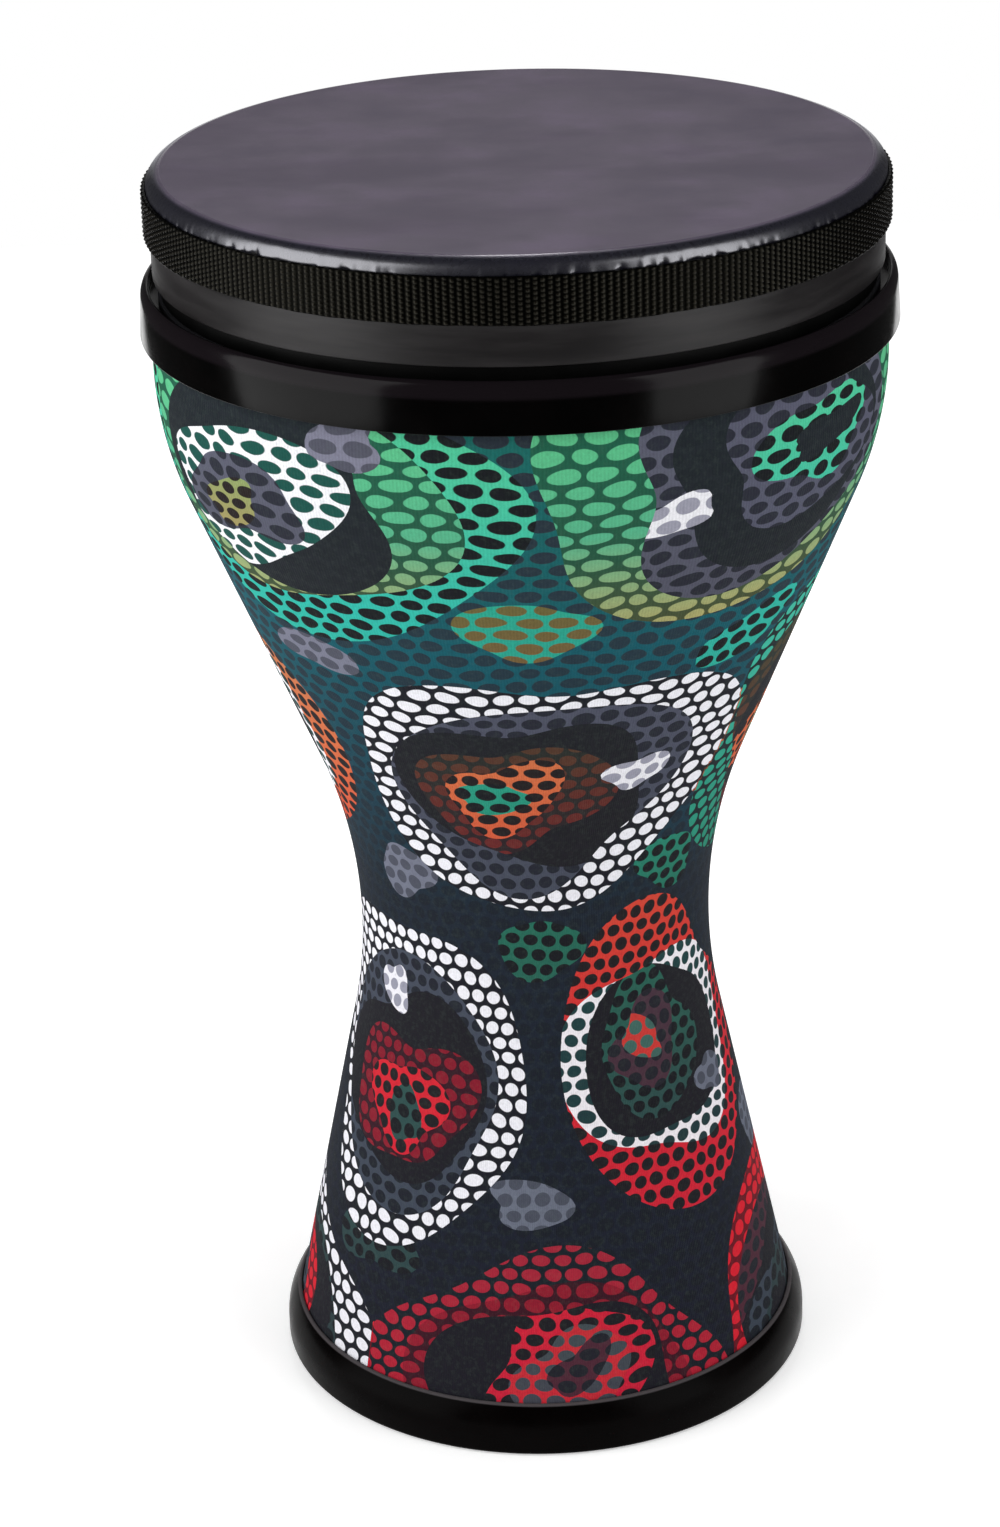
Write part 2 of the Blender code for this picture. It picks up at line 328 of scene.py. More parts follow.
sleeve = {
    "top": 0.4814,
    "bottom": 0.0060,
    "columns": 384,
    "rowPitch": 0.00245,
    "innerPitch": 0.016,
    "cutSize": (0.48, 0.49),   # the tube as cut, as wide as the waist is round
    "walesRound": 640,
    "coursePitch": 0.0011,
}

# the print is laid out flat, this wide for once round the drum: staggered rows of large pebbles,
# with small beans between them
printDesign = {
    "seed": 12,
    "width": 0.56,
    "across": 4,
    "rows": 4,
    "firstRow": 0.014,
    "rise": 0.149,
    "asideWander": 0.05,       # how far pebbles and beans stray, in shares of a step or a rise
    "pebbleWander": 0.04,
    "beanWander": 0.03,
    "pebbleSize": 0.0665,
    "pebbleRange": (0.92, 1.07),
    "beanSides": (-0.41, 0.41),
    "beanMissing": 0.25,
    "beanSize": (0.011, 0.019),
    "beanStretch": (1.0, 1.45),
    "beanLean": 0.6,
    "dotColumns": 66,
    "dotPitch": 0.0070,
    "dotSize": 0.405,
    "dotSoft": 0.015,
    "dotRagged": 0.06,
    "dotWander": 0.6,
}

# cloths: name, then net and dots as (height, colour) from the foot up to the collar
cloths = [
    ("moat",
     [(0.0, "191820"), (0.6, "1E1E23"), (1.0, "20272C")],
     [(0.0, "1A1921"), (0.6, "1C1C21"), (1.0, "1D2429")]),
    ("mintDots",
     [(0.0, "161B24"), (1.0, "18272A")],
     [(0.0, "B01B30"), (0.20, "9A2436"), (0.31, "3B6462"), (0.45, "24785E"), (0.62, "2C9A82"),
      (0.82, "42BFA6"), (1.0, "5FCC92")]),
    ("hotDots",
     [(0.0, "650E1E"), (0.42, "6B141F"), (0.60, "6B3524"), (0.76, "544A28"), (0.88, "24543F"),
      (1.0, "1C5E48")],
     [(0.0, "CB1A2E"), (0.42, "DC1E2C"), (0.58, "CE5638"), (0.72, "D08245"), (0.80, "A8A066"),
      (0.90, "54AE86"), (1.0, "5CC088")]),
    ("whiteDots",
     [(0.0, "191A22"), (1.0, "1A1B22")],
     [(0.0, "E6E5EC"), (1.0, "EEEEF4")]),
    ("slateNet",
     [(0.0, "363F4B"), (0.5, "434856"), (1.0, "57586A")],
     [(0.0, "171B23"), (1.0, "2A2C37")]),
    ("whiteNet",
     [(0.0, "EAE3E9"), (1.0, "EEEFF3")],
     [(0.0, "23262F"), (0.45, "1C3F40"), (1.0, "175148")]),
    ("hotNet",
     [(0.0, "C21B38"), (0.36, "CC2330"), (0.52, "CE4633"), (0.66, "CC6B42"), (0.80, "B27B52"),
      (1.0, "62A868")],
     [(0.0, "1A1A20"), (1.0, "241C1B")]),
    ("coolNet",
     [(0.0, "2A353B"), (0.30, "2C4A48"), (0.48, "246654"), (0.64, "27947B"), (0.82, "30B6A6"),
      (1.0, "50C494")],
     [(0.0, "17181E"), (1.0, "15191C")]),
    ("warmOnCool",
     [(0.0, "BE2334"), (0.45, "C43B33"), (0.62, "C46C4A"), (0.85, "B98A55"), (1.0, "8CA66C")],
     [(0.0, "403A48"), (0.45, "3F6A60"), (0.62, "2F9B80"), (1.0, "38AE8A")]),
    ("slateBean",
     [(0.0, "5D6472"), (0.5, "6E7282"), (1.0, "7B7B8D")],
     [(0.0, "444955"), (1.0, "51525F")]),
    ("whiteBean",
     [(0.0, "E0DEE6"), (1.0, "EDEDF2")],
     [(0.0, "8E8F9E"), (1.0, "9A9AA9")]),
    ("nightNet",
     [(0.0, "4C2230"), (0.40, "45303C"), (0.6, "403F4C"), (1.0, "5A5C6C")],
     [(0.0, "1F2028"), (0.6, "22222A"), (1.0, "2A2D38")]),
    ("quietDots",
     [(0.0, "3A101E"), (0.5, "2E1822"), (0.75, "26302A"), (1.0, "233A30")],
     [(0.0, "8E192C"), (0.45, "7A1828"), (0.62, "5E2A25"), (0.80, "27482F"), (1.0, "22592F")]),
    ("ground",
     [(0.0, "181926"), (0.50, "1B2430"), (0.62, "163B4A"), (0.78, "125662"), (1.0, "17665E")],
     [(0.0, "161820"), (0.50, "192029"), (0.62, "1A2C38"), (0.80, "243640"), (1.0, "272F38")]),
    ("mutedBean",
     [(0.0, "31373D"), (1.0, "33423F")],
     [(0.0, "2B3238"), (1.0, "2C3B3A")]),
    ("redBean",
     [(0.0, "57232F"), (0.5, "5A3330"), (0.7, "29998B"), (1.0, "2CAB88")],
     [(0.0, "8E2030"), (0.5, "8A4030"), (0.7, "7A5238"), (1.0, "4E7038")]),
]
clothNumber = {cloth[0]: number for number, cloth in enumerate(cloths)}

# a pebble's nested outlines: share of its size, shift aside, waviness, stretch
pebbleOutlines = [
    (1.0, 0.0, 1.2, 1.0),      # outline
    (0.77, 0.06, 1.1, 1.0),    # second band
    (0.63, 0.10, 1.2, 1.0),    # dark moat
    (0.47, 0.19, 1.7, 1.0),    # core
    (0.30, 0.24, 1.7, 1.0),    # patch
    (0.16, 0.30, 1.6, 1.3),    # centre
    (0.15, -0.50, 1.6, 1.15),  # accent spot
]

# each pebble's cloths from its rim inwards: band, second, core, patch, centre, and its accent spot
pebbleCloths = [
    ("mintDots", "quietDots", "hotNet", "warmOnCool", "nightNet", "whiteBean"),
    ("hotDots", "nightNet", "slateNet", "coolNet", "moat", "whiteBean"),
    ("hotNet", "whiteNet", "coolNet", "nightNet", "warmOnCool", "slateBean"),
    ("whiteDots", "coolNet", "hotDots", "slateNet", "moat", "redBean"),
    ("coolNet", "hotDots", "whiteNet", "nightNet", "hotNet", "slateBean"),
    ("whiteDots", "slateNet", "quietDots", "hotNet", "coolNet", "whiteBean"),
]
beanCloths = ["slateBean", "mutedBean", "redBean", "slateBean", "coolNet", "whiteBean"]
farAway = 9.0   # outside every outline


def waved(draw, centre, size, wave=1.0, stretch=1.0, lean=0.0):
    # an outline whose radius rolls in a few waves: (count, reach, phase)
    waves = [(count, wave * draw.uniform(0.45, 1.0) * reach, draw.uniform(0, math.tau))
             for count, reach in ((2, 0.11), (3, 0.10), (4, 0.045), (5, 0.02))]
    return {"centre": centre, "size": size, "waves": waves, "stretch": stretch, "lean": lean}


def wavedField(shape, across, along):
    # 1 on the shape's outline, less inside it; the print's width wraps round
    width = printDesign["width"]
    dx = across - shape["centre"][0]
    dx = dx - width * np.round(dx / width)
    dy = along - shape["centre"][1]
    cosine, sine = math.cos(shape["lean"]), math.sin(shape["lean"])
    dx, dy = dx * cosine + dy * sine, dy * cosine - dx * sine
    dx, dy = dx / shape["stretch"], dy * shape["stretch"]
    angle = np.arctan2(dy, dx)
    reach = 1 + sum(size * np.cos(count * angle + phase) for count, size, phase in shape["waves"])
    return np.hypot(dx, dy) / (shape["size"] * reach)


def drawPebbles(draw, across, along):
    design = printDesign
    fields = np.full((len(across), len(pebbleOutlines)), farAway)
    inks = np.zeros((len(across), len(pebbleCloths[0])))
    step, aside = design["width"] / design["across"], design["asideWander"]
    wander = design["pebbleWander"]
    for row in range(design["rows"]):
        for column in range(design["across"]):
            centre = ((column + 0.5 * (row % 2) + draw.uniform(-aside, aside)) * step,
                      design["firstRow"] + (row + draw.uniform(-wander, wander)) * design["rise"])
            size = design["pebbleSize"] * draw.uniform(*design["pebbleRange"])
            lean = draw.uniform(0, math.tau)
            shapes = []
            for share, shift, wave, stretch in pebbleOutlines:
                moved = (centre[0] + shift * size * math.cos(lean),
                         centre[1] + shift * size * math.sin(lean))
                shapes.append(waved(draw, moved, share * size, wave, stretch, lean))
            own = np.stack([wavedField(shape, across, along) for shape in shapes], 1)
            nearer = own[:, 0] < fields[:, 0]
            fields[nearer] = own[nearer]
            kind = pebbleCloths[(column + 2 * row + (row // 2)) % len(pebbleCloths)]
            inks[nearer] = [clothNumber[name] for name in kind]
    return fields, inks


def drawBeans(draw, across, along):
    design = printDesign
    field, ink = np.full(len(across), farAway), np.zeros(len(across))
    step, aside = design["width"] / design["across"], design["asideWander"]
    wander = design["beanWander"]
    for row in range(-1, design["rows"] + 1):
        for column in range(design["across"]):
            for side in design["beanSides"]:
                if draw.random() < design["beanMissing"]:
                    continue
                centre = ((column + 0.5 * (row % 2) + 0.5 + draw.uniform(-aside, aside)) * step,
                          design["firstRow"]
                          + (row + side + draw.uniform(-wander, wander)) * design["rise"])
                shape = waved(draw, centre, draw.uniform(*design["beanSize"]), 1.5,
                              draw.uniform(*design["beanStretch"]),
                              draw.uniform(-design["beanLean"], design["beanLean"]))
                own = wavedField(shape, across, along)
                nearer = own < field
                field[nearer] = own[nearer]
                ink[nearer] = clothNumber[draw.choice(beanCloths)]
    return field, ink


def storeOnPoints(data, name, values):
    attribute = data.attributes.new(name, "FLOAT_VECTOR", "POINT")
    attribute.data.foreach_set("vector", np.stack(values, 1).astype(np.float32).ravel())


def makeSleeve(material):
    depth = goblet["sleeveDeep"]
    outer = gobletLine(sleeve["top"], sleeve["bottom"], 0.0, sleeve["rowPitch"])
    inner = gobletLine(sleeve["bottom"], sleeve["top"], depth, sleeve["innerPitch"])
    mesh = turn(outer + inner, sleeve["columns"], start=math.pi / 2)
    piece = place("printedSleeve", mesh, material, "drum_shell", "printed_sleeve")
    data = piece.data

    spots = np.empty(3 * len(data.vertices))
    data.vertices.foreach_get("co", spots)
    spots = spots.reshape(-1, 3)
    heights = np.array([z for _, z in reversed(outer)])
    radii = np.array([radius for radius, _ in reversed(outer)])
    lengths = np.concatenate([[0.0], np.cumsum(np.hypot(np.diff(heights), np.diff(radii)))])
    along = np.interp(spots[:, 2], heights, lengths)
    turnShare = np.arctan2(spots[:, 0], -spots[:, 1]) / math.tau
    across = turnShare * printDesign["width"]

    draw = random.Random(printDesign["seed"])
    fields, inks = drawPebbles(draw, across, along)
    bean, beanInk = drawBeans(draw, across, along)
    storeOnPoints(data, "rimFields", fields.T[0:3])
    storeOnPoints(data, "coreFields", fields.T[3:6])
    storeOnPoints(data, "spotFields", [fields[:, 6], bean, bean])
    storeOnPoints(data, "rimCloths", inks.T[0:3])
    storeOnPoints(data, "coreCloths", inks.T[3:6])
    storeOnPoints(data, "beanCloths", [beanInk, beanInk, beanInk])

    uv = data.uv_layers.new(name="tube")
    corners = np.zeros(len(data.loops), int)
    data.loops.foreach_get("vertex_index", corners)
    share = turnShare[corners].reshape(-1, 4)
    share = share - np.round(share - share[:, :1])   # no face spans the wrap at the back
    places = np.stack([share.ravel() + 0.5, along[corners]], 1)
    uv.data.foreach_set("uv", places.astype(np.float32).ravel())


def attributeAxes(tree, name):
    node = tree.nodes.new("ShaderNodeAttribute")
    node.attribute_name = name
    return splitAxes(tree, node.outputs["Vector"])


def printDots(tree, own, u, v):
    # staggered ovals that wander a little out of line; 1 inside an oval
    def drift(scale):
        wave = noise(tree, ownCoordinates(tree, scale), 1.0, 1.0)
        return times(tree, subtract(tree, wave, 0.5), printDesign["dotWander"] * 2)

    row = add(tree, calc(tree, "DIVIDE", v, printDesign["dotPitch"]), drift((24, 24, 31)))
    odd = calc(tree, "MODULO", calc(tree, "FLOOR", row), 2.0)
    column = add(tree, times(tree, u, printDesign["dotColumns"]), times(tree, odd, 0.5))
    column = add(tree, column, drift((33, 33, 22)))
    dx = subtract(tree, calc(tree, "FRACT", column), 0.5)
    dy = subtract(tree, calc(tree, "FRACT", row), 0.5)
    ragged = subtract(tree, noise(tree, own, 190, 2.0), 0.5)
    away = add(tree, length(tree, dx, dy), times(tree, ragged, printDesign["dotRagged"]))
    size, soft = printDesign["dotSize"], printDesign["dotSoft"]
    return spread(tree, away, size + soft, size - soft)


def clothAt(tree):
    # the number of the cloth printed at each place, from the rim of a pebble inwards
    outline, second, moat = attributeAxes(tree, "rimFields")
    core, patch, centre = attributeAxes(tree, "coreFields")
    spot, bean, _ = attributeAxes(tree, "spotFields")
    bandInk, secondInk, coreInk = attributeAxes(tree, "rimCloths")
    patchInk, centreInk, spotInk = attributeAxes(tree, "coreCloths")
    beanInk = attributeAxes(tree, "beanCloths")[0]

    def within(field):
        return calc(tree, "LESS_THAN", field, 1.0)

    ink = blendValue(tree, within(centre), patchInk, centreInk)
    ink = blendValue(tree, within(patch), coreInk, ink)
    ink = blendValue(tree, within(core), float(clothNumber["moat"]), ink)
    ink = blendValue(tree, within(moat), secondInk, ink)
    ink = blendValue(tree, within(spot), ink, spotInk)
    ink = blendValue(tree, within(second), bandInk, ink)
    ground = blendValue(tree, within(bean), float(clothNumber["ground"]), beanInk)
    return blendValue(tree, within(outline), ground, ink)


def printedKnit():
    material, tree, shader = newMaterial("printedKnit", tint("22303A"), 0.86, gloss=0.12)
    uv = tree.nodes.new("ShaderNodeUVMap")
    uv.uv_map = "tube"
    u, v, _ = splitAxes(tree, uv.outputs["UV"])
    own = ownCoordinates(tree)
    heightShare = spread(tree, splitAxes(tree, own)[2], 0.0, sleeve["top"])
    dots = printDots(tree, own, u, v)
    ink = clothAt(tree)
    colour = tint("191820")   # each place gets a cloth over this
    for number, (_, net, spots) in enumerate(cloths):
        chosen = calc(tree, "COMPARE", ink, float(number), 0.4)
        cloth = blendColour(tree, dots, ramp(tree, heightShare, net), ramp(tree, heightShare, spots))
        colour = blendColour(tree, chosen, colour, cloth)

    # greenish and violet lint, which shows most on the dark cloths
    lint = noise(tree, own, 480, 3.0, 0.7)
    colour = blendColour(tree, spread(tree, lint, 0.48, 0.72, 0.0, 0.10), colour, tint("5A6A60"))
    colour = blendColour(tree, spread(tree, lint, 0.48, 0.30, 0.0, 0.13), colour, tint("2B2136"))

    # knit: wales run down the tube, courses go round it
    wale = calc(tree, "SINE", times(tree, u, sleeve["walesRound"] * math.tau))
    course = calc(tree, "SINE", times(tree, v, math.tau / sleeve["coursePitch"]))
    knit = times(tree, wale, spread(tree, course, -1.0, 1.0, 0.35, 1.0))
    fuzz = noise(tree, own, 900, 2.0)
    # painted shade in the hollows between the knit's loops and a slight painted highlight on them,
    # with random heather from the fuzz
    shade = add(tree, spread(tree, knit, -1.0, 1.0, 0.92, 1.06),
                times(tree, subtract(tree, fuzz, 0.5), 0.32))
    grey = tree.nodes.new("ShaderNodeCombineColor")
    for socket in grey.inputs:
        tree.links.new(shade, socket)
    colour = blendColour(tree, 1.0, colour, grey.outputs[0], "MULTIPLY")
    paint(tree, shader, colour, spread(tree, fuzz, 0.3, 0.7, 0.80, 0.92))
    relief(tree, shader, add(tree, knit, times(tree, fuzz, 1.2)), 0.35, 0.00015)
    return material


makeSleeve(printedKnit())
print("sleeve printed")


# head film: coated sheet over the rim, turned down behind the webbing

film = {
    "top": 0.5460,
    "thickness": 0.0004,
    "sideRadius": 0.1506,
    "rimBend": 0.0066,
    "bottom": 0.5219,
    "crest": 0.00015,        # the sheet dips this much inside the rim
    "crestWidth": 0.0022,
    "crestPoint": (0.55, 0.35),   # part of the way up, in shares of the width and the dip
    "innerRings": (0.05, 0.10),
    "wallStep": 0.0012,
    "columns": 960,
    "creases": 210,
    "creaseSeed": 7,
    "creaseFoot": 0.5388,
    "creaseBelow": 0.0030,
    "creaseRise": 0.0052,
    "creaseInwards": 0.0016,
    "creaseDeep": 0.00070,
    "creaseLimits": (-1.2, 0.6),
    "creaseWidth": (0.0006, 0.0016),
    "creaseStrength": (0.3, 1.0),
    "creaseReach": (0.45, 1.0),
    "creaseSigns": (-1.0, -1.0, 0.7),
    "groupSpread": 0.05,
}


def drawCreases(draw):
    # loose groups of (angle, strength, width, sign, reach)
    creases = []
    while len(creases) < film["creases"]:
        group = draw.uniform(-math.pi, math.pi)
        for _ in range(draw.randrange(1, 5)):
            creases.append((group + draw.gauss(0, film["groupSpread"]),
                            draw.uniform(*film["creaseStrength"]), draw.uniform(*film["creaseWidth"]),
                            draw.choice(film["creaseSigns"]), draw.uniform(*film["creaseReach"])))
    return creases


def makeFilm(material):
    thick, side, rim = film["thickness"], film["sideRadius"], film["rimBend"]
    flat = side - rim
    centre = (flat, film["top"] - rim)
    dip = film["top"] - film["crest"]
    inwards, upwards = film["crestPoint"]
    line = [(radius, dip) for radius in (0, *film["innerRings"], flat - film["crestWidth"])]
    line += [(flat - film["crestWidth"] * inwards, dip + film["crest"] * upwards)]
    line += bend(centre, rim, 90, 0, 14)
    line += [(side, film["top"] - rim - film["wallStep"] * step) for step in range(1, 4)]
    line += [(side, film["bottom"]), (side - thick, film["bottom"])]
    line += bend(centre, rim - thick, 0, 90, 8)
    line += [(flat - film["crestWidth"], dip - thick), (0, dip - thick)]
    mesh = turn(line, film["columns"], closed=False)

    # small creases where the sheet is drawn in above the webbing
    creases = drawCreases(random.Random(film["creaseSeed"]))
    low, high = film["creaseFoot"], film["creaseFoot"] + film["creaseRise"]
    spots = [vert for vert in mesh.verts
             if low - film["creaseBelow"] < vert.co.z < high
             and vert.co.xy.length > side - film["creaseInwards"]]
    for vert in spots:
        radius, angle = vert.co.xy.length, math.atan2(vert.co.y, vert.co.x)
        push = 0.0
        for at, strength, width, sign, reach in creases:
            gap = abs((angle - at + math.pi) % math.tau - math.pi) * side
            if gap < 2 * width:
                fade = max(0.0, 1 - max(0.0, vert.co.z - low) / (film["creaseRise"] * reach))
                push += sign * strength * fade * math.cos(gap / (2 * width) * math.pi / 2) ** 2
        deepest, proudest = film["creaseLimits"]
        vert.co.xy *= 1 + film["creaseDeep"] * max(deepest, min(push, proudest)) / radius
    place("playingFilm", mesh, material, "head", "head_film", smoothUnder=60)


def coatedFilm():
    material, tree, shader = newMaterial("coatedFilm", tint("585160"), 0.5)
    own = ownCoordinates(tree)
    radius = axisDistance(tree, own)
    flat = film["sideRadius"] - film["rimBend"]
    onRim = spread(tree, radius, flat + 0.0010, flat + 0.0034, smooth=True)
    fromEdge = calc(tree, "ABSOLUTE", subtract(tree, radius, flat + 0.0011))
    edge = spread(tree, fromEdge, 0.0003, 0.0008, 1.0, 0.0)   # the polished line round the flat
    cloud = noise(tree, own, 26, 5.0, 0.62)
    smudge = noise(tree, ownCoordinates(tree, (11, 20, 11)), 1.0, 4.0)
    speck = noise(tree, own, 420, 3.0)
    face = spread(tree, cloud, 0.32, 0.68)
    face = ramp(tree, face, [(0.0, "4B4453"), (0.5, "57505D"), (1.0, "615868")])
    face = blendColour(tree, spread(tree, smudge, 0.48, 0.64, 0.0, 0.5), face, tint("463F4D"))
    face = blendColour(tree, spread(tree, speck, 0.45, 0.75, 0.0, 0.14), face, tint("4B4453"))
    # painted shade: the same sheet is painted far darker where it bends down over the rim
    rimPaintedShade = ramp(tree, cloud, [(0.2, "050510"), (0.8, "0C0B1A")])
    faceRough = spread(tree, cloud, 0.3, 0.7, 0.44, 0.58)
    rimRough = spread(tree, speck, 0.3, 0.7, 0.24, 0.32)
    rough = blendValue(tree, edge, blendValue(tree, onRim, faceRough, rimRough), 0.13)
    paint(tree, shader, blendColour(tree, onRim, face, rimPaintedShade), rough)
    tree.links.new(blendValue(tree, onRim, 0.12, 1.0), shader.inputs["Specular IOR Level"])
    tree.links.new(onRim, shader.inputs["Coat Weight"])
    shader.inputs["Coat IOR"].default_value = 2.0
    shader.inputs["Coat Roughness"].default_value = 0.29
    shader.inputs["Coat Tint"].default_value = (0.86, 0.86, 1.0, 1.0)
    relief(tree, shader, add(tree, speck, cloud), 0.25, 0.00008)
    return material


makeFilm(coatedFilm())
print("film stretched")


# head frame: the satin band under the webbing

headFrame = {
    "sideRadius": 0.1499,
    "boreRadius": 0.1415,
    "top": 0.5453,
    "bottom": 0.5036,
    "rimBend": 0.0059,
    "bevelWide": 0.0015,
    "bevelDeep": 0.0025,
    "rebateRadius": 0.1473,
    "rebateTop": 0.5156,
    "columns": 240,
    "softEdge": 0.0005,
}


def makeFrame(material):
    side, bore, top = headFrame["sideRadius"], headFrame["boreRadius"], headFrame["top"]
    rim = headFrame["rimBend"]
    line = bend((side - rim, top - rim), rim, 90, 0, 8)
    line += [(side, headFrame["bottom"]), (headFrame["rebateRadius"], headFrame["bottom"])]
    line += [(headFrame["rebateRadius"], headFrame["rebateTop"]), (bore, headFrame["rebateTop"])]
    line += [(bore, top - headFrame["bevelDeep"]), (bore + headFrame["bevelWide"], top)]
    mesh = turn(line, headFrame["columns"])
    roundEdges(mesh, headFrame["softEdge"])
    place("headFrame", mesh, material, "head", "head_frame")


def satinLaminate():
    material, tree, shader = newMaterial("satinLaminate", tint("1C191C"), 0.4)
    own = ownCoordinates(tree)
    streaks = noise(tree, ownCoordinates(tree, (16, 16, 150)), 1.0, 4.0)
    cloud = noise(tree, own, 30, 3.0)
    colour = ramp(tree, streaks, [(0.3, "100E0F"), (0.5, "161314"), (0.72, "1F1C1D")])
    colour = blendColour(tree, spread(tree, cloud, 0.4, 0.8, 0.0, 0.35), colour, tint("120F11"))
    paint(tree, shader, colour, spread(tree, streaks, 0.3, 0.7, 0.34, 0.50))
    tree.links.new(spread(tree, streaks, 0.35, 0.65, 0.30, 0.44), shader.inputs["Specular IOR Level"])
    relief(tree, shader, streaks, 0.2, 0.0001)
    return material


makeFrame(satinLaminate())
print("head frame turned")


# trim webbing: ribbed nylon, its ends butted at the back

webbing = {
    "top": 0.5394,
    "bottom": 0.5204,
    "outerRadius": 0.15215,
    "innerRadius": 0.1509,
    "ribs": 338,
    "ribDeep": 0.00028,
    "knotPitch": 0.00195,
    "knotDeep": 0.00028,
    "rows": 62,
    "perRib": 4,
    "endGap": 0.0006,
    "edgeWander": 0.00030,
    "edgeRound": 0.0006,
    "edgeDeep": 0.00045,
}


def makeWebbing(material):
    w = webbing
    outer, inner, top, bottom = w["outerRadius"], w["innerRadius"], w["top"], w["bottom"]
    line = [(outer, top + (bottom - top) * row / w["rows"]) for row in range(w["rows"] + 1)]
    line += [(inner, bottom), (inner, top)]
    gap = w["endGap"] / outer
    start = math.pi / 2 + gap / 2
    mesh = turn(line, w["ribs"] * w["perRib"], start=start, sweep=math.tau - gap)
    for vert in mesh.verts:
        radius = math.hypot(vert.co.x, vert.co.y)
        angle = math.atan2(vert.co.y, vert.co.x) - start
        wander = (math.sin(9 * angle) + math.sin(23 * angle + 1.3) + math.sin(61 * angle + 0.4)) / 3
        vert.co.z += wander * w["edgeWander"] * ((top - vert.co.z) / (top - bottom))
        if radius < (outer + inner) / 2:
            continue

        # upright ribs of small knots, every second rib half a knot lower
        rib = angle * w["ribs"]
        side = math.pi * (math.floor(rib / math.tau + 0.25) % 2)
        knot = math.cos(math.tau * (vert.co.z - bottom) / w["knotPitch"] + side)
        push = w["ribDeep"] * math.cos(rib) + w["knotDeep"] * knot * (0.4 + 0.6 * math.cos(rib))
        fromEdge = min(top - vert.co.z, vert.co.z - bottom) + 0.0001
        crown = math.sqrt(max(0.0, min(1.0, fromEdge / w["edgeRound"])))
        push = push * crown - w["edgeDeep"] * (1 - crown)
        vert.co.x *= 1 + push / radius
        vert.co.y *= 1 + push / radius
    place("trimWebbing", mesh, material, "head", "webbing_band", smoothUnder=70)


def ribbedNylon():
    material, tree, shader = newMaterial("ribbedNylon", tint("0B0A09"), 0.5)
    shader.inputs["Specular Tint"].default_value = (1.0, 0.95, 0.74, 1.0)
    own = ownCoordinates(tree)
    mean = webbing["outerRadius"]
    crest = spread(tree, axisDistance(tree, own), mean - 0.0002, mean + 0.00035)
    fibre = noise(tree, own, 1500, 2.0)
    cloud = noise(tree, own, 60, 2.0)
    # painted highlight and shade: the knots' crests are painted lighter and the hollows between them
    # darker
    colour = ramp(tree, crest, [(0.0, "010101"), (0.5, "020202"), (1.0, "120F0B")])
    colour = blendColour(tree, spread(tree, fibre, 0.35, 0.75, 0.0, 0.3), colour, tint("0B0A08"))
    colour = blendColour(tree, spread(tree, cloud, 0.4, 0.8, 0.0, 0.4), colour, tint("040404"))
    paint(tree, shader, colour, spread(tree, fibre, 0.3, 0.7, 0.26, 0.42))
    tree.links.new(blendValue(tree, crest, 0.02, 0.21), shader.inputs["Specular IOR Level"])
    relief(tree, shader, fibre, 0.5, 0.0001)
    return material


makeWebbing(ribbedNylon())
print("webbing woven")


# locating skirt under the frame

skirt = {
    "outer": 0.1470,
    "inner": 0.1445,
    "top": 0.5153,
    "bottom": 0.4963,
    "columns": 240,
    "softEdge": 0.0005,
}


def mouldedPlastic(name, low, high, rough, gloss, waves=0.04, paintedLipHighlight=None):
    material, tree, shader = newMaterial(name, tint(low), rough[0], gloss=gloss)
    own = ownCoordinates(tree)
    swirl = noise(tree, own, 55, 3.0)
    grain = noise(tree, own, 1300, 2.0)
    colour = ramp(tree, swirl, [(0.3, low), (0.75, high)])
    if paintedLipHighlight:
        # painted highlight: the upper lip turns paler from the first height up to the second
        first, second, pale = paintedLipHighlight
        share = spread(tree, splitAxes(tree, own)[2], first, second, smooth=True)
        colour = blendColour(tree, share, colour, tint(pale))
    paint(tree, shader, colour, spread(tree, swirl, 0.3, 0.7, rough[0], rough[1]))
    relief(tree, shader, add(tree, times(tree, swirl, 4.0), grain), waves, 0.0002)
    return material


placeSquareRing("locatingSkirt", skirt,
                mouldedPlastic("skirtPlastic", "050505", "080808", (0.45, 0.6), 0.1, 0.1),
                "head", "locating_skirt")
print("skirt turned")


# collar on the bowl's rim: rounded lip, trough for the head, clasp inside

collar = {
    "top": 0.4994,
    "bottom": 0.4784,
    "radius": 0.1563,
    "topRadius": 0.1554,
    "lipInner": 0.1519,
    "lipRound": 0.0030,
    "lipRise": 0.0060,
    "lipDrop": 0.0004,
    "troughFloor": 0.4937,
    "ribRadius": 0.1441,
    "ribTop": 0.4982,
    "claspRadius": 0.1454,
    "claspInner": 0.1428,
    "channelRadius": 0.1521,
    "channelTop": 0.4907,
    "columns": 288,
    "softEdge": 0.0005,
    # painted highlight along the lip's rounded top
    "paintedLipHighlight": (0.4914, 0.4936, "130F12"),
}


def makeCollar(material):
    c = collar
    lip = (c["topRadius"] - c["lipRound"], c["top"] - c["lipRise"])
    taller = c["lipRise"] / c["lipRound"]
    quarter = bend(lip, c["lipRound"], 86, 0, 12)
    line = [(c["lipInner"], c["top"] - c["lipDrop"])]
    line += [(radius, lip[1] + (z - lip[1]) * taller) for radius, z in quarter]
    line += [(c["radius"], c["bottom"]), (c["channelRadius"], c["bottom"])]
    line += [(c["channelRadius"], c["channelTop"]), (c["claspRadius"], c["channelTop"])]
    line += [(c["claspRadius"], c["bottom"]), (c["claspInner"], c["bottom"])]
    line += [(c["claspInner"], c["ribTop"]), (c["ribRadius"], c["ribTop"])]
    line += [(c["ribRadius"], c["troughFloor"]), (c["lipInner"], c["troughFloor"])]
    mesh = turn(line, c["columns"])
    roundEdges(mesh, c["softEdge"])
    place("collarRing", mesh, material, "drum_shell", "collar_ring")


